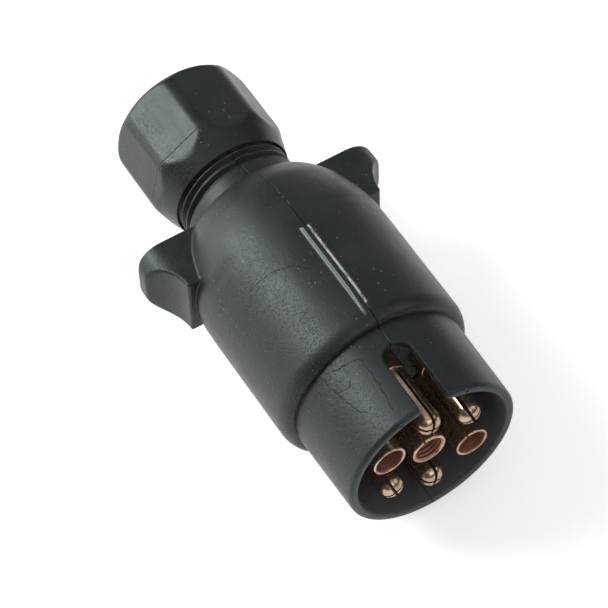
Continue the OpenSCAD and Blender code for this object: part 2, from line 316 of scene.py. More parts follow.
def wing_distance(x, y, z):
    """Both finger wings: a scooped outline seen from above, rounded at the tip seen from the front."""
    side = np.abs(x)
    plan = round_both(side - WING_TIP, y - WING_REAR, WING_CORNER)
    plan = round_both(plan, WING_FRONT - y, WING_EDGE)
    plan = round_both(plan, SCOOP_R - np.hypot(side - SCOOP_X, y - WING_FRONT), SCOOP_EDGE)
    u, v = side - (WING_TIP - WING_ROUND), np.abs(z) - (WING_HALF - WING_ROUND)
    bar = np.hypot(np.maximum(u, 0), np.maximum(v, 0)) + np.minimum(np.maximum(u, v), 0) - WING_ROUND
    return round_both(plan, bar, WING_EDGE)


def rib_distance(x, y, z):
    """The raised rib on the top seam: blunt at the rear, running out to nothing at the shoulder."""
    top = BODY_R + RIB_HEIGHT * np.clip((y - RIB_FRONT) / RIB_RISE, 0, 1)
    lean = RIB_LEAN * (z - BODY_R)
    rib = round_both(np.abs(x) - RIB_HALF + lean, z - top, RIB_EDGE)
    rib = round_both(rib, y - RIB_REAR + lean, RIB_END_EDGE)
    return np.maximum(rib, np.maximum(RIB_ABOVE - z, RIB_FRONT - y))


def housing_distance(r, turn, y):
    """The two half shells as one, without the split between them."""
    x, z = r * np.sin(turn), r * np.cos(turn)
    body = outline_distance(r, y, SHELL_OUTLINE)
    thread = (r - thread_radius(turn, y, THREAD_ROOT, THREAD_CREST)) * THREAD_LEAN
    body = np.maximum(body, np.where(y > COLLAR_REAR - 0.02, thread, -1.0))
    body = round_union(body, wing_distance(x, y, z), WING_FILLET)
    body = round_union(body, rib_distance(x, y, z), RIB_FILLET)
    body = np.maximum(body, -outline_distance(r, y, SHELL_SPACE))
    straight = np.maximum(np.abs(x) - KEYWAY_HALF, y - KEYWAY_ROUND_Y)
    keyway = np.minimum(straight, np.hypot(x, y - KEYWAY_ROUND_Y) - KEYWAY_HALF)
    keyway = np.maximum(keyway, KEYWAY_ABOVE - z)
    body = round_cut(body, keyway, KEYWAY_EDGE)
    for a in (-EJECTOR_TURN, EJECTOR_TURN):
        across = np.hypot(x - EJECTOR_PLACE_R * sin(a), z - EJECTOR_PLACE_R * cos(a))
        body = np.maximum(body, EJECTOR_R - np.hypot(across, y + EJECTOR_FRONT))
    return body


def half_shell_distance(side):
    """Distance of the half shell on one side: +1 for the right, -1 for the left."""
    def distance(r, turn, y):
        return round_both(housing_distance(r, turn, y), SPLIT_HALF - side * r * np.sin(turn), SPLIT_EDGE)
    return distance


def build_shells():
    """Both half shells. The left one's grid is the right one's, mirrored."""
    rs = spread((9.2, 15, 0.35), (15, 18, 0.6), (18, 24.8, 0.3), (24.8, 31.2, 0.42))
    ys = spread(
        (-0.6, 1.8, 0.15), (1.8, 12.6, 1.2), (12.6, 17.4, 0.3), (17.4, 20.4, 0.8), (20.4, 25.8, 0.18),
        (25.8, 48.5, 1.5), (48.5, 51.5, 0.25), (51.5, 58.6, 0.7), (58.6, 61.4, 0.2), (61.4, 71.2, 0.4),
        (71.2, 78.2, 0.16), (78.2, 96.5, 0.17))
    turns = np.radians(spread(
        (-0.4, 1.4, 0.3), (1.4, 2.5, 0.4), (2.5, 4.2, 0.25), (4.2, 7, 0.6), (7, 12, 0.5), (12, 22, 1.2),
        (22, 26, 0.5), (26, 64, 2), (64, 77, 0.65), (77, 103, 1.7), (103, 116, 0.65), (116, 178, 2),
        (178, 180.4, 0.3)))
    pieces = []
    for name, side in (("shell_right", 1), ("shell_left", -1)):
        verts, faces = surface_net(half_shell_distance(side), rs, side * turns, ys)
        piece = mesh_piece(name + "_moulding", verts, faces)
        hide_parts(name)
        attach(piece, "plug")
        pieces.append(piece)
    return pieces


# ---------------------------------------------------------------- gland nut
NUT_OUTLINE = (
    [(0, NUT_FRONT), (14.3, NUT_FRONT), (14.5, NUT_FRONT + 0.2), (15.95, 87.3)]
    + [(16.45, 88.6), (NUT_R, NUT_SEAM), (NUT_R, NUT_REAR - NUT_ROUND)]
    + quarter(NUT_R, NUT_REAR - NUT_ROUND, NUT_R - NUT_ROUND, NUT_REAR, True)
    + [(9.6, NUT_REAR), (9.1, NUT_REAR - 0.5), (0, NUT_REAR - 0.5)]
)
NUT_SPACE = [
    (0, NUT_FRONT - 2), (14.35, NUT_FRONT - 2), (14.35, NUT_FRONT), (NUT_BORE_R, NUT_FRONT + 1),
    (NUT_BORE_R, NUT_FLOOR), (8.2, NUT_FLOOR), (CABLE_HOLE_R, 104.5), (CABLE_HOLE_R, 107), (8.1, 107.6),
    (8.1, 110), (0, 110),
]


def nut_distance(r, turn, y):
    """The nut: a turned body with eight flats, a fine seam all round, and a screw thread inside."""
    outside = outline_distance(r, y, NUT_OUTLINE)
    from_flat = (turn - NUT_TURN + pi / 8) % (pi / 4) - pi / 8
    beyond = r * np.cos(from_flat) - (NUT_FLAT - NUT_CORNER)
    beside = np.abs(r * np.sin(from_flat)) - (NUT_FLAT - NUT_CORNER) * tan(pi / 8)
    flats = np.hypot(np.maximum(beyond, 0), np.maximum(beside, 0)) - NUT_CORNER
    body = round_both(outside, flats, NUT_EDGE)
    body = body + NUT_SEAM_DEPTH * np.clip(1.4 - np.abs(y - NUT_SEAM) / NUT_SEAM_HALF, 0, 1)
    space = outline_distance(r, y, NUT_SPACE)
    groove = thread_radius(turn, y, THREAD_ROOT + 0.12, THREAD_CREST + 0.2, 0.14)
    threaded = round_both(NUT_THREAD_FRONT - y, y - NUT_THREAD_REAR, 0.1)
    space = np.where(threaded < 0, np.maximum(space, (r - groove) * THREAD_LEAN), space)
    return np.maximum(body, -space)


def build_nut():
    rs = spread((7.0, 9.8, 0.25), (9.8, 12.8, 0.8), (12.8, 17.4, 0.25))
    ys = spread(
        (81.8, 84.4, 0.15), (84.4, 90.0, 0.2), (90.0, 90.4, 0.05), (90.4, 104.6, 0.2),
        (104.6, 108.6, 0.18))
    turns = np.radians(np.arange(0, 360, 1.5)) + NUT_TURN
    verts, faces = surface_net(nut_distance, rs, turns, ys, whole=True)
    piece = mesh_piece("gland_nut_moulding", verts, faces)
    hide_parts("gland_nut")
    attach(piece, "gland_nut")
    return piece


# ---------------------------------------------------------------- contacts
PIN_R, PIN_COLLAR_R, PIN_COLLAR_FRONT = 2.85, 3.25, 14.7
TUBE_R, TUBE_BORE_R, TUBE_BORE_END = 3.92, 3.28, 17.8
# half the height and the pitch of the turning ridges in the centre tube's bore
RIDGE_HALF, RIDGE_PITCH = 0.05, 0.9
CARRIER_FACE, CARRIER_REAR, BARREL_END = 19.5, 30.0, 42.0
SHANK_R, BARREL_R, SCREW_HOLE_R, SCREW_Y = 2.6, 3.28, 1.25, 37.0
WIRE_R, WIRE_DEPTH = 1.9, 9.0
SAW_HALF, SLIT_HALF, SAW_DEPTH = 0.31, 0.16, 14.4
# name, angle round the axis, tip, roll of the saw cuts
PINS = [
    ("key", 0, -0.8, 17),
    ("upper_right", 60, -0.4, 15),
    ("bottom", 180, 0.1, 17),
    ("lower_left", 240, -0.4, 15),
]
# name, angle, distance from the axis, mouth, outer radius, roll of the slit
TUBES = [
    ("centre", 0, 0, 1.45, 4.12, -15),
    ("lower_right", 120, CIRCLE_R, 0.7, TUBE_R, -135),
    ("upper_left", 300, CIRCLE_R, 0.7, TUBE_R, -45),
]


def back_outline(front):
    """Half outline of a contact behind its front part: shank, then the barrel for the wire."""
    return front + [
        (SHANK_R, CARRIER_FACE), (SHANK_R, CARRIER_REAR + 0.1), (BARREL_R - 0.3, CARRIER_REAR + 0.1),
        (BARREL_R, CARRIER_REAR + 0.4), (BARREL_R, BARREL_END - 0.4), (BARREL_R - 0.4, BARREL_END),
        (0, BARREL_END),
    ]


def barrel_holes(r, turn, y, outward):
    """The wire's hole from behind and the screw's hole from the side that faces away from the axis."""
    wire = np.maximum(r - WIRE_R, BARREL_END - WIRE_DEPTH - y)
    screw = np.hypot(r * np.sin(turn - outward), y - SCREW_Y) - SCREW_HOLE_R
    return np.minimum(wire, np.maximum(screw, -r * np.cos(turn - outward)))


def pin_distance(angle, tip, roll):
    """Distance of a pin with a domed tip, two crossed saw cuts and a collar at its foot."""
    outline = back_outline(
        [(0, tip)] + quarter(0.7, tip, PIN_R, tip + 2.3, False)
        + [(PIN_R, PIN_COLLAR_FRONT), (PIN_COLLAR_R - 0.15, PIN_COLLAR_FRONT + 0.1)]
        + [(PIN_COLLAR_R, PIN_COLLAR_FRONT + 0.3), (PIN_COLLAR_R, CARRIER_FACE)])
    outward = radians(angle + CARRIER_TURN)
    cut = outward + radians(roll)

    def distance(r, turn, y):
        across, along = np.abs(r * np.sin(turn - cut)), np.abs(r * np.cos(turn - cut))
        saw = np.maximum(np.minimum(across, along) - SAW_HALF, y - SAW_DEPTH)
        body = round_cut(outline_distance(r, y, outline), saw, 0.1)
        return np.maximum(body, -barrel_holes(r, turn, y, outward))
    return distance


def tube_distance(angle, ridge_half, mouth, outer_r, roll):
    """Distance of a tube with a rounded lip and one saw slit on the side that roll gives."""
    mid, lip = (outer_r + TUBE_BORE_R) / 2, (outer_r - TUBE_BORE_R) / 2
    outline = back_outline(
        [(0, mouth + lip)] + [(TUBE_BORE_R, mouth + lip)]
        + [(mid - lip * cos(t), mouth + lip - lip * sin(t)) for t in np.linspace(0, pi, 11)]
        + [(outer_r, CARRIER_FACE)])
    outward = radians(angle + CARRIER_TURN)
    cut = outward + radians(roll)

    def distance(r, turn, y):
        ridge = ridge_half * (1 + np.sin(2 * pi * y / RIDGE_PITCH))
        bore = np.maximum(r - TUBE_BORE_R + ridge, y - TUBE_BORE_END)
        slit = np.maximum(np.abs(r * np.sin(turn - cut)) - SLIT_HALF, y - SAW_DEPTH)
        slit = np.maximum(slit, -r * np.cos(turn - cut))
        body = np.maximum(outline_distance(r, y, outline), -np.minimum(bore, slit))
        return np.maximum(body, -barrel_holes(r, turn, y, outward))
    return distance


def build_contacts():
    """The four pins and then the three tubes, each on a fine grid of its own."""
    pieces = []
    turns = np.radians(np.arange(0, 360, 5.0))
    rs = spread((0.05, 4.5, 0.18))
    behind = [
        (18.4, 29.6, 0.9), (29.6, 30.6, 0.2), (30.6, 35.4, 0.6), (35.4, 38.6, 0.25), (38.6, 41.4, 0.6),
        (41.4, 42.3, 0.15),
    ]
    for name, angle, tip, roll in PINS:
        ys = spread(
            (tip - 0.3, tip + 3, 0.12), (tip + 3, 13.8, 0.7), (13.8, 15.4, 0.15), (15.4, 18.4, 0.6),
            *behind)
        pieces.append((f"pin_contact_{name}", pin_distance(angle, tip, roll), angle, CIRCLE_R, ys))
    for name, angle, circle_r, mouth, outer_r, roll in TUBES:
        ridge_half, step = (0, 0.5) if circle_r else (RIDGE_HALF, 0.15)
        ys = spread(
            (mouth - 0.3, mouth + 1.2, 0.1), (mouth + 1.2, 13.8, step), (13.8, 18.4, 0.3), *behind)
        distance = tube_distance(angle, ridge_half, mouth, outer_r, roll)
        pieces.append((f"tube_contact_{name}", distance, angle, circle_r, ys))
    made = []
    for name, distance, angle, circle_r, ys in pieces:
        a = radians(angle + CARRIER_TURN)
        verts, faces = surface_net(
            distance, rs, turns + a, ys, centre=(circle_r * sin(a), circle_r * cos(a)), whole=True)
        piece = mesh_piece(name + "_turned", verts, faces)
        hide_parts(name)
        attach(piece, "plug")
        made.append(piece)
    return made


# ---------------------------------------------------------------- carrier, seal and washer
WELL_R, WELL_DEPTH, WELL_EDGE = 4.55, 0.35, 0.15
HOLE_GAP = 0.04
CARRIER_OUTLINE = [
    (0, CARRIER_FACE), (18.0, CARRIER_FACE), (18.3, CARRIER_FACE + 0.3), (18.3, 21), (19.5, 21), (19.5, 24),
    (17.6, 24), (17.6, CARRIER_REAR - 0.3), (17.3, CARRIER_REAR), (0, CARRIER_REAR),
]
CONTACT_PLACES = [(0, 0)] + [(angle, CIRCLE_R) for angle in (0, 60, 120, 180, 240, 300)]


def carrier_distance(r, turn, y):
    """The insulator: a disc with a flange, a shallow well round each contact, and the contacts' holes."""
    x, z = r * np.sin(turn), r * np.cos(turn)
    body = outline_distance(r, y, CARRIER_OUTLINE)
    for angle, circle_r in CONTACT_PLACES:
        a = radians(angle + CARRIER_TURN)
        from_contact = np.hypot(x - circle_r * sin(a), z - circle_r * cos(a))
        well = round_both(from_contact - WELL_R, y - CARRIER_FACE - WELL_DEPTH, 0.2)
        body = np.maximum(round_cut(body, well, WELL_EDGE), SHANK_R + HOLE_GAP - from_contact)
    return body


def build_carrier():
    verts, faces = surface_net(
        carrier_distance, spread((0.05, 17, 0.3), (17, 20.1, 0.3)), np.radians(np.arange(0, 360, 1.5)),
        spread((19.1, 20.3, 0.15), (20.3, 24.4, 0.45), (24.4, 29.4, 1.2), (29.4, 30.4, 0.15)), whole=True)
    piece = mesh_piece("contact_carrier_moulding", verts, faces)
    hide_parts("contact_carrier")
    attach(piece, "plug")
    return piece


def turned_piece(name, outline, steps=120):
    """A closed ring: an outline of (radius, y) points turned round the axis."""
    ring = np.asarray(outline, float)
    angles = 2 * pi * np.arange(steps) / steps
    verts = np.stack([
        np.outer(np.sin(angles), ring[:, 0]), np.broadcast_to(ring[:, 1], (steps, len(ring))),
        np.outer(np.cos(angles), ring[:, 0])], -1).reshape(-1, 3)
    i, j = np.meshgrid(np.arange(steps), np.arange(len(ring)), indexing="ij")
    i2, j2 = (i + 1) % steps, (j + 1) % len(ring)
    n = len(ring)
    faces = np.stack([i * n + j, i2 * n + j, i2 * n + j2, i * n + j2], -1).reshape(-1, 4)
    return mesh_piece(name, verts, faces)


SEAL_BORE_R, SEAL_RIB_R, SEAL_R, SEAL_FRONT, SEAL_REAR = 6.05, 6.7, 10.9, 86.2, 98.0
SEAL_FLANGE_R, SEAL_FLANGE_FRONT = 12.3, 96.05
SEAL_RIBS, SEAL_RIB_PITCH = 8, 1.3


def build_seal():
    """The rubber ring: ribs inside that grip the cable, and a flange on the end of the neck."""
    ribs = []
    for k in range(SEAL_RIBS):
        y = 96.9 - SEAL_RIB_PITCH * k
        ribs += [(SEAL_BORE_R, y), (SEAL_RIB_R, y - 0.45), (SEAL_RIB_R, y - 0.75), (SEAL_BORE_R, y - 1.2)]
    outline = (
        [(SEAL_BORE_R, SEAL_FRONT), (SEAL_R - 0.3, SEAL_FRONT - 0.1), (SEAL_R, SEAL_FRONT + 0.2)]
        + [(SEAL_R, SEAL_FLANGE_FRONT), (SEAL_FLANGE_R - 0.2, SEAL_FLANGE_FRONT)]
        + [(SEAL_FLANGE_R, SEAL_FLANGE_FRONT + 0.2)]
        + quarter(SEAL_FLANGE_R, SEAL_REAR - 0.7, SEAL_FLANGE_R - 0.7, SEAL_REAR, True, 4)
        + [(6.6, SEAL_REAR), (SEAL_BORE_R, SEAL_REAR - 0.5)] + ribs)
    piece = turned_piece("cable_seal_moulding", outline)
    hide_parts("cable_seal")
    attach(piece, "plug")
    return piece


WASHER_BORE_R, WASHER_R, WASHER_FRONT, WASHER_REAR, WASHER_EDGE = 7.9, 13.9, 102.2, 103.7, 0.2


def build_washer():
    """The slip washer: a flat ring with a small bevel on its four edges."""
    inner, outer, front, rear, edge = WASHER_BORE_R, WASHER_R, WASHER_FRONT, WASHER_REAR, WASHER_EDGE
    piece = turned_piece("slip_washer_moulding", [
        (inner + edge, front), (outer - edge, front), (outer, front + edge), (outer, rear - edge),
        (outer - edge, rear), (inner + edge, rear), (inner, rear - edge), (inner, front + edge)])
    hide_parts("slip_washer")
    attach(piece, "slip_washer")
    return piece


# ---------------------------------------------------------------- materials
class Nodes:
    """Short helpers round one material's node tree."""

    def __init__(self, name):
        self.material = bpy.data.materials.new(name)
        self.material.use_nodes = True
        self.tree = self.material.node_tree
        self.tree.nodes.clear()
        self.shader = self.add("ShaderNodeBsdfPrincipled")
        output = self.add("ShaderNodeOutputMaterial")
        self.tree.links.new(self.shader.outputs[0], output.inputs["Surface"])
        self.place = self.add("ShaderNodeTexCoord").outputs["Object"]

    def add(self, kind, **settings):
        node = self.tree.nodes.new(kind)
        for key, value in settings.items():
            setattr(node, key, value)
        return node

    def put(self, socket, value):
        if isinstance(value, bpy.types.NodeSocket):
            self.tree.links.new(value, socket)
        else:
            socket.default_value = value

    def stretched(self, x, y, z):
        """The object's own coordinates, scaled along each axis, in 1 / mm."""
        node = self.add("ShaderNodeVectorMath", operation="MULTIPLY")
        self.put(node.inputs[0], self.place)
        node.inputs[1].default_value = (x / MM, y / MM, z / MM)
        return node.outputs[0]

    def noise(self, size, detail=2.0, rough=0.5, at=None):
        """Noise whose blobs are about size mm across."""
        node = self.add("ShaderNodeTexNoise")
        self.put(node.inputs["Vector"], at or self.stretched(1, 1, 1))
        node.inputs["Scale"].default_value = 1 / size
        node.inputs["Detail"].default_value = detail
        node.inputs["Roughness"].default_value = rough
        return node.outputs["Fac"]

    def math(self, operation, a, b=0.0, c=0.0):
        node = self.add("ShaderNodeMath", operation=operation)
        for socket, value in zip(node.inputs, (a, b, c)):
            self.put(socket, value)
        return node.outputs[0]

    def product(self, first, *others):
        for other in others:
            first = self.math("MULTIPLY", first, other)
        return first

    def axes(self):
        """The object's own x, y and z in mm."""
        node = self.add("ShaderNodeSeparateXYZ")
        self.put(node.inputs[0], self.stretched(1, 1, 1))
        return node.outputs

    def vector(self, x, y, z):
        node = self.add("ShaderNodeCombineXYZ")
        for socket, value in zip(node.inputs, (x, y, z)):
            self.put(socket, value)
        return node.outputs[0]

    def vector_math(self, operation, a, b, output=0):
        node = self.add("ShaderNodeVectorMath", operation=operation)
        self.put(node.inputs[0], a)
        self.put(node.inputs[1], b)
        return node.outputs[output]

    def hypot(self, a, b):
        return self.vector_math("LENGTH", self.vector(a, b, 0), (0, 0, 0), output="Value")

    def from_segment(self, place, start, end):
        """Distance of place from the straight line between two points, all in one plane."""
        start, end = Vector((*start, 0)), Vector((*end, 0))
        along = end - start
        offset = self.vector_math("SUBTRACT", place, start)
        share = self.vector_math("DOT_PRODUCT", offset, along / along.length_squared, output="Value")
        share = self.math("MINIMUM", self.math("MAXIMUM", share, 0), 1)
        foot = self.vector_math("MULTIPLY", self.vector(share, share, share), along)
        return self.vector_math("DISTANCE", offset, foot, output="Value")

    def specks(self, apart, radius, rare):
        """Round dots of up to radius mm in a share 1 - rare of cells that are apart mm across."""
        node = self.add("ShaderNodeTexVoronoi")
        self.put(node.inputs["Vector"], self.stretched(1, 1, 1))
        node.inputs["Scale"].default_value = 1 / apart
        dot = self.between(node.outputs["Distance"], 0.6 * radius / apart, radius / apart, 1, 0)
        pick = self.add("ShaderNodeSeparateColor")
        self.put(pick.inputs[0], node.outputs["Color"])
        return self.math("MULTIPLY", dot, self.between(pick.outputs[0], rare, rare + 0.02))

    def between(self, value, low, high, to_low=0.0, to_high=1.0):
        """value mapped from low..high to to_low..to_high, smoothly and clamped."""
        node = self.add("ShaderNodeMapRange", interpolation_type="SMOOTHSTEP")
        for socket, number in zip(node.inputs, (value, low, high, to_low, to_high)):
            self.put(socket, number)
        return node.outputs[0]

    def blend(self, share, a, b):
        node = self.add("ShaderNodeMix", data_type="RGBA")
        self.put(node.inputs["Factor"], share)
        for key, colour in (("A", a), ("B", b)):
            socket = [i for i in node.inputs if i.name == key and i.type == "RGBA"][0]
            self.put(socket, colour if isinstance(colour, bpy.types.NodeSocket) else (*colour, 1.0))
        return [o for o in node.outputs if o.type == "RGBA"][0]

    def bump(self, height, depth, under=None):
        """Bump of the given depth in mm."""
        node = self.add("ShaderNodeBump")
        node.inputs["Strength"].default_value = 1.0
        node.inputs["Distance"].default_value = depth * MM
        self.put(node.inputs["Height"], height)
        if under:
            self.put(node.inputs["Normal"], under)
        return node.outputs[0]

    def finish(self, colour, rough, normal=None, **constants):
        self.put(self.shader.inputs["Base Color"], colour)
        self.put(self.shader.inputs["Roughness"], rough)
        if normal:
            self.put(self.shader.inputs["Normal"], normal)
        for key, value in constants.items():
            self.shader.inputs[key.replace("_", " ")].default_value = value
        return self.material


PIT_BLACK, LINE_BLACK = (0.003, 0.0035, 0.0035), (0.003, 0.003, 0.003)
SCUFF_GREY, DUST_GREY = (0.09, 0.095, 0.095), (0.34, 0.34, 0.32)
# on this line: a lighter grey painted inside the mouth as light that fills it, the torn strip's grey with a
# painted highlight in it, and a painted highlight on the rib's left flank
MOUTH_PAINTED_LIGHT_GREY, TORN_AND_LIT_GREY, FLANK_HIGHLIGHT_GREY = (0.075, 0.082, 0.082), (0.42, 0.41, 0.38), (0.11, 0.125, 0.125)
# the cool colour of the light from the left, painted into every reflection of the plastic as a tint
PAINTED_COOL_LIGHT_TINT = (0.86, 1.0, 0.99, 1.0)


def flow_line_mask(n, x, y, z, lines):
    """1 along the flow lines on the top of a shell, which waver a little and fade in places."""
    wobble = n.between(n.noise(2.5, 3, 0.6), 0.3, 0.7, -0.22, 0.22)
    place = n.vector(n.math("ADD", x, wobble), n.math("ADD", y, wobble), 0)
    far_away = 9.0
    near = far_away
    for points in lines:
        for start, end in zip(points, points[1:]):
            near = n.math("MINIMUM", n.from_segment(place, start, end), near)
    faded = n.between(n.noise(1.5, 2), 0.32, 0.5, 0.5, 1)
    return n.product(n.between(near, 0.03, 0.17, 1, 0), n.between(z, 5, 8), faded)


def torn_and_lit_strip_mask(n, x, y, z):
    """Up to 1 on the torn strip of plastic on the rib, right of the seam, whose light grey holds a painted
    highlight.
    """
    ragged = n.noise(0.9, 3, 0.7, n.stretched(1, 0.4, 1))
    return n.product(
        n.between(x, 0.5, 0.68, 1, 0), n.between(z, BODY_R - 0.45, BODY_R - 0.05),
        n.between(y, RIB_FRONT + 2.2, RIB_FRONT + 3), n.between(y, RIB_REAR - 0.8, RIB_REAR - 0.2, 1, 0),
        n.between(ragged, 0.36, 0.52, 0.35, 1))


def flank_highlight_mask(n, x, y, z):
    """1 on the rib's left flank, where a highlight is painted in a lighter grey."""
    foot = -RIB_HALF
    return n.product(
        n.between(x, foot - 0.07, foot + 0.05), n.between(x, foot + 0.45, foot + 0.6, 1, 0),
        n.between(y, RIB_FRONT - 0.4, RIB_FRONT + 1.5), n.between(y, RIB_REAR - 0.2, RIB_REAR + 0.1, 1, 0),
        n.between(z, BODY_R - 0.15, BODY_R))


def moulded_black(name, dark, light, rough, lines=(), torn_and_lit=False, flank_highlight=False, pitted=0.5):
    """Black moulded plastic: fine eroded grain, leathery pits where the mould was worn, dust specks and
    light scuffs; inside the mouth a lighter grey is painted as light. lines are fine flow lines, each a
    list of (x, y) places on the top; the next flag adds the torn strip along the rib's seam, its grey
    holding a painted highlight, and the one after it a painted highlight on the rib's left flank, made
    glossier too.
    pitted is the strength of the pits towards the cable end, as a share of their strength on the body."""
    n = Nodes(name)
    x, y, z = n.axes()
    grain = n.noise(0.42, 3, 0.65)
    cloud = n.noise(9, 3, 0.55)
    flow = n.noise(2.2, 4, 0.6, n.stretched(1, 0.35, 1))
    patch = n.between(n.noise(14, 2), 0.42, 0.62)
    worn = n.product(
        n.between(x, -16, -6, 1, 0.12), n.between(y, 42, 54, 1, pitted),
        n.between(cloud, 0.35, 0.6, 0.45, 1))
    pits = n.math("MULTIPLY", n.between(n.noise(0.52, 1, 0.5), 0.55, 0.63), worn)
    speck = n.math("MULTIPLY", n.specks(1.1, 0.13, 0.6), n.between(patch, 0, 1, 0.25, 1))
    scratches = n.noise(0.5, 2, 0.5, n.stretched(1, 0.12, 1))
    scuff = n.math("MULTIPLY", n.between(scratches, 0.66, 0.78), patch)
    in_mouth = n.between(n.hypot(x, z), MOUTH_R + 0.25, MOUTH_R + 0.5, 1, 0)
    inside = n.math("MULTIPLY", in_mouth, n.between(y, 20, 30, 1, 0))
    colour = n.blend(n.between(cloud, 0.3, 0.7), dark, light)
    colour = n.blend(n.math("MULTIPLY", pits, 0.6), colour, PIT_BLACK)
    colour = n.blend(n.math("MULTIPLY", scuff, 0.25), colour, SCUFF_GREY)
    colour = n.blend(n.math("MULTIPLY", speck, 0.75), colour, DUST_GREY)
    # painted light: the inside of the mouth and the carrier's face in a lighter grey
    colour = n.blend(inside, colour, MOUTH_PAINTED_LIGHT_GREY)
    sheen = n.between(flow, 0.25, 0.75, rough - 0.025, rough + 0.025)
    sheen = n.math("ADD", sheen, n.between(cloud, 0.3, 0.7, -0.03, 0.04))
    height = n.math("SUBTRACT", n.math("MULTIPLY", grain, 0.5), n.math("MULTIPLY", pits, 2.2))
    if lines:
        line = flow_line_mask(n, x, y, z, lines)
        colour = n.blend(n.math("MULTIPLY", line, 0.8), colour, LINE_BLACK)
        sheen = n.math("ADD", sheen, n.math("MULTIPLY", line, 0.3))
        height = n.math("SUBTRACT", height, n.math("MULTIPLY", line, 0.6))
    if torn_and_lit:
        strip = torn_and_lit_strip_mask(n, x, y, z)
        # the torn strip: a rough flash whose light grey is partly its own and partly a painted highlight
        colour = n.blend(strip, colour, TORN_AND_LIT_GREY)
        height = n.math("ADD", height, n.math("MULTIPLY", strip, 3.0))
    if flank_highlight:
        flank = flank_highlight_mask(n, x, y, z)
        # painted highlight: the rib's left flank in a lighter grey, and glossier
        colour = n.blend(flank, colour, FLANK_HIGHLIGHT_GREY)
        sheen = n.math("SUBTRACT", sheen, n.math("MULTIPLY", flank, 0.12))
    sheen = n.math("ADD", sheen, n.math("MULTIPLY", inside, 0.2))
    bumped = n.bump(height, 0.03, n.bump(cloud, 0.02))
    # reflections tinted with the painted cool colour of the light
    return n.finish(colour, sheen, bumped, Specular_IOR_Level=0.35, Specular_Tint=PAINTED_COOL_LIGHT_TINT)


def brass(name, bright, dull, dark, rough):
    """Turned brass, a little tarnished in patches, with fine turning marks across the axis."""
    n = Nodes(name)
    rings = n.noise(0.4, 2, 0.5, n.stretched(0.05, 1, 0.05))
    patch = n.noise(3.2, 3, 0.6)
    colour = n.blend(n.between(patch, 0.38, 0.62), bright, dull)
    colour = n.blend(n.between(n.noise(1.6, 3, 0.6), 0.58, 0.75, 0, 0.7), colour, dark)
    sheen = n.between(rings, 0.3, 0.7, rough, rough + 0.05)
    sheen = n.math("ADD", sheen, n.between(patch, 0.4, 0.8, 0.0, 0.1))
    return n.finish(colour, sheen, n.bump(rings, 0.002), Metallic=0.9)


def zinc_steel():
    """Zinc-plated screw steel, finely brushed, with dull grey clouds."""
    n = Nodes("zinc_steel")
    brush = n.noise(0.08, 2, 0.6, n.stretched(1, 0.1, 1))
    cloud = n.noise(0.8, 2)
    colour = n.blend(n.between(cloud, 0.35, 0.7), (0.66, 0.64, 0.58), (0.48, 0.47, 0.43))
    return n.finish(colour, n.between(brush, 0.3, 0.7, 0.25, 0.42), n.bump(brush, 0.004), Metallic=1.0)


def seal_rubber():
    """Matt black rubber with a chalky bloom."""
    n = Nodes("seal_rubber")
    bloom = n.noise(1.5, 4, 0.65)
    colour = n.blend(n.between(bloom, 0.45, 0.8), (0.016, 0.016, 0.016), (0.05, 0.05, 0.048))
    return n.finish(colour, n.between(bloom, 0.3, 0.8, 0.62, 0.8), n.bump(n.noise(0.15, 2), 0.01), IOR=1.45)


def washer_plastic():
    """Smooth dark grey plastic in soft clouds, with a fine grain."""
    n = Nodes("washer_plastic")
    cloud = n.noise(2.5, 3, 0.55)
    colour = n.blend(n.between(cloud, 0.35, 0.7), (0.10, 0.105, 0.11), (0.15, 0.155, 0.16))
    return n.finish(colour, n.between(cloud, 0.3, 0.7, 0.32, 0.45), n.bump(n.noise(0.2, 2), 0.006), IOR=1.5)


# fine flow marks on the left shell, as places (x, y) on its top: a weld line on the body, and a hook, a
# straight line and a short branch on the sleeve
FLOW_MARKS = [
    [(-16.5, 46.2), (-12.3, 45.6), (-9.4, 44.9), (-6.8, 43.4), (-4.9, 40.6), (-3.8, 37.3)],
    [
        (-7.1, 17.5), (-10.0, 18.6), (-12.9, 19.9), (-14.5, 19.5), (-14.6, 17.2), (-13.9, 13.6),
        (-13.2, 9.9), (-11.8, 6.9),
    ],
    [(-7.1, 17.5), (-6.6, 15.9), (-6.8, 12.5), (-7.1, 8.2), (-7.7, 3.5)],
    [(-14.2, 15.0), (-11.6, 14.2), (-11.0, 15.2)],
]
SHELL_DARK, SHELL_LIGHT, SHELL_ROUGH = (0.011, 0.0128, 0.0133), (0.017, 0.0192, 0.0197), 0.41
NUT_DARK, NUT_LIGHT, NUT_ROUGH = (0.010, 0.0115, 0.012), (0.015, 0.0165, 0.017), 0.35
CARRIER_DARK, CARRIER_LIGHT, CARRIER_ROUGH = (0.012, 0.013, 0.013), (0.018, 0.019, 0.019), 0.5
BRASS_BRIGHT, BRASS_DULL, BRASS_DARK = (0.54, 0.38, 0.255), (0.33, 0.245, 0.17), (0.21, 0.16, 0.12)
# the bores' brass: brighter and redder than the outside, the light bouncing inside the bores painted into
# its colour
BORE_REFLECTION_BRIGHT, BORE_REFLECTION_DULL, BORE_REFLECTION_DARK = (0.62, 0.34, 0.24), (0.44, 0.24, 0.17), (0.30, 0.16, 0.11)
BRASS_ROUGH, BORE_ROUGH = 0.2, 0.45
# faces this much farther out than a tube's bore still belong to it
BORE_SKIN = 0.04


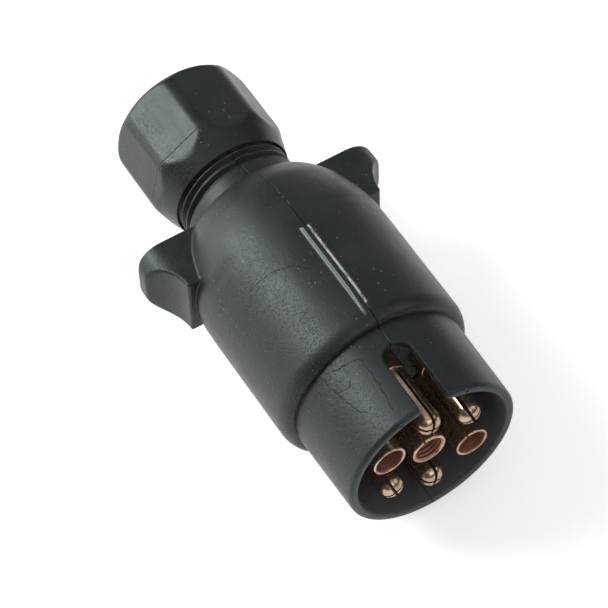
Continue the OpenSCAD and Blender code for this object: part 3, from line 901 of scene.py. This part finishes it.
def line_bores(contacts, material):
    """Gives the faces inside the tube contacts' bores a brass of their own, brighter and redder, with the
    light that bounces inside them painted in.
    """
    for contact, (_, angle, circle_r, mouth, _, _) in zip(contacts[len(PINS):], TUBES):
        a = radians(angle + CARRIER_TURN)
        contact.data.materials.append(material)
        for face in contact.data.polygons:
            x, y, z = face.center / MM
            from_axis = np.hypot(x - circle_r * sin(a), z - circle_r * cos(a))
            if from_axis < TUBE_BORE_R + BORE_SKIN and mouth < y < CARRIER_FACE:
                face.material_index = 1


def paint(pieces, material):
    for piece in pieces:
        piece.data.materials.clear()
        piece.data.materials.append(material)


# ---------------------------------------------------------------- stage, lights and camera
# the middle of the plug, the floor's half side in metres, and how much the floor glows
MIDDLE = Vector((0, 0.052, 0))
FLOOR_HALF, FLOOR_GLOW = 1.5, 0.48
FLOOR_DARK, FLOOR_LIGHT = (0.86, 0.86, 0.86), (0.88, 0.88, 0.88)
# the world's strength as a light and as the camera sees it
WORLD_LIGHT, WORLD_SEEN = 0.08, 0.95


def build_floor(height):
    """A pale sheet that the plug lies on, lit a little from below like a light table."""
    bm = bmesh.new()
    bmesh.ops.create_grid(bm, x_segments=2, y_segments=2, size=FLOOR_HALF)
    mesh = bpy.data.meshes.new("floor")
    bm.to_mesh(mesh)
    bm.free()
    floor = bpy.data.objects.new("floor", mesh)
    floor.location = (0, 0, height)
    bpy.context.scene.collection.objects.link(floor)
    n = Nodes("pale_paper")
    mesh.materials.append(n.finish(
        n.blend(n.noise(60, 2), FLOOR_DARK, FLOOR_LIGHT), 0.7, n.bump(n.noise(0.8, 2), 0.01),
        Emission_Color=(1, 1, 1, 1), Emission_Strength=FLOOR_GLOW))


def area_light(name, azimuth, elevation, distance, size, power):
    """A square soft light that looks at the middle of the plug. The azimuth goes from +X towards +Y."""
    data = bpy.data.lights.new(name, "AREA")
    data.shape, data.size, data.energy = "SQUARE", size, power
    lamp = bpy.data.objects.new(name, data)
    bpy.context.scene.collection.objects.link(lamp)
    az, el = radians(azimuth), radians(elevation)
    toward = Vector((cos(az) * cos(el), sin(az) * cos(el), sin(el)))
    turned = toward.to_track_quat("Z", "Y").to_matrix().to_4x4()
    lamp.matrix_world = Matrix.Translation(MIDDLE + toward * distance) @ turned


# name, azimuth, elevation, distance and side in metres, watts
LIGHTS = [
    ("key_high", 142, 39, 0.9, 0.4, 5.2),
    ("key_middle", 120, 25, 0.9, 0.55, 2.4),
    ("key_low", 135, 12, 0.9, 0.55, 3.0),
    ("top", 60, 75, 1.0, 0.9, 1.2),
    ("top_front", 240, 70, 1.0, 0.9, 1.0),
    ("fill_front", 270, 40, 0.9, 0.55, 1.5),
    ("fill_right", 330, 40, 0.9, 0.55, 1.3),
    ("rim_right", 45, 25, 0.9, 0.55, 0.5),
]


def build_lights():
    """The soft lights, and a world that is dim as a light but pale where the camera sees it."""
    for light in LIGHTS:
        area_light(*light)
    world = bpy.data.worlds.new("studio")
    world.use_nodes = True
    tree = world.node_tree
    background = tree.nodes["Background"]
    background.inputs["Color"].default_value = (1, 1, 1, 1)
    seen = tree.nodes.new("ShaderNodeLightPath").outputs["Is Camera Ray"]
    strength = tree.nodes.new("ShaderNodeMapRange")
    for socket, value in zip(strength.inputs[1:5], (0, 1, WORLD_LIGHT, WORLD_SEEN)):
        socket.default_value = value
    tree.links.new(seen, strength.inputs["Value"])
    tree.links.new(strength.outputs["Result"], background.inputs["Strength"])
    bpy.context.scene.world = world
    bpy.context.scene.view_settings.view_transform = "Standard"


CAMERA_AZIMUTH, CAMERA_ELEVATION, CAMERA_ROLL = radians(-29.4689), radians(55.2760), radians(-2.4026)
CAMERA_AT = Vector((-177.382, -261.4832, 511.7571)) * MM
CAMERA_LENS, CAMERA_SENSOR = 169.62, 36.0
CAMERA_NEAR, CAMERA_FAR = 0.01, 20.0


def build_camera():
    """The camera of the photograph, fitted to its outlines: from the left of the mouth and above."""
    az, el, roll = CAMERA_AZIMUTH, CAMERA_ELEVATION, CAMERA_ROLL
    back = Vector((sin(az) * cos(el), -cos(az) * cos(el), sin(el)))
    level = Vector((cos(az), sin(az), 0))
    upward = back.cross(level)
    right = cos(roll) * level + sin(roll) * upward
    up = back.cross(right)
    data = bpy.data.cameras.new("camera")
    data.lens, data.sensor_width = CAMERA_LENS, CAMERA_SENSOR
    data.clip_start, data.clip_end = CAMERA_NEAR, CAMERA_FAR
    camera = bpy.data.objects.new("camera", data)
    camera.matrix_world = Matrix.Translation(CAMERA_AT) @ Matrix((right, up, back)).transposed().to_4x4()
    bpy.context.scene.collection.objects.link(camera)
    bpy.context.scene.camera = camera


# ======== build
shells = build_shells()
nut = build_nut()
contacts = build_contacts()
carrier = build_carrier()
seal = build_seal()
washer = build_washer()
screws = [node for name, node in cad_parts.items() if name.startswith("terminal_screw")]

paint([shells[0]], moulded_black("shell_right_plastic", SHELL_DARK, SHELL_LIGHT, SHELL_ROUGH, torn_and_lit=True))
paint([shells[1]], moulded_black(
    "shell_left_plastic", SHELL_DARK, SHELL_LIGHT, SHELL_ROUGH, lines=FLOW_MARKS, flank_highlight=True))
paint([nut], moulded_black("nut_plastic", NUT_DARK, NUT_LIGHT, NUT_ROUGH, pitted=0.6))
paint([carrier], moulded_black("carrier_plastic", CARRIER_DARK, CARRIER_LIGHT, CARRIER_ROUGH))
paint(contacts, brass("turned_brass", BRASS_BRIGHT, BRASS_DULL, BRASS_DARK, BRASS_ROUGH))
line_bores(contacts, brass("bore_brass_painted_reflection", BORE_REFLECTION_BRIGHT, BORE_REFLECTION_DULL, BORE_REFLECTION_DARK, BORE_ROUGH))
paint(screws, zinc_steel())
paint([seal], seal_rubber())
paint([washer], washer_plastic())

build_floor(cad_low[2])
build_lights()
build_camera()
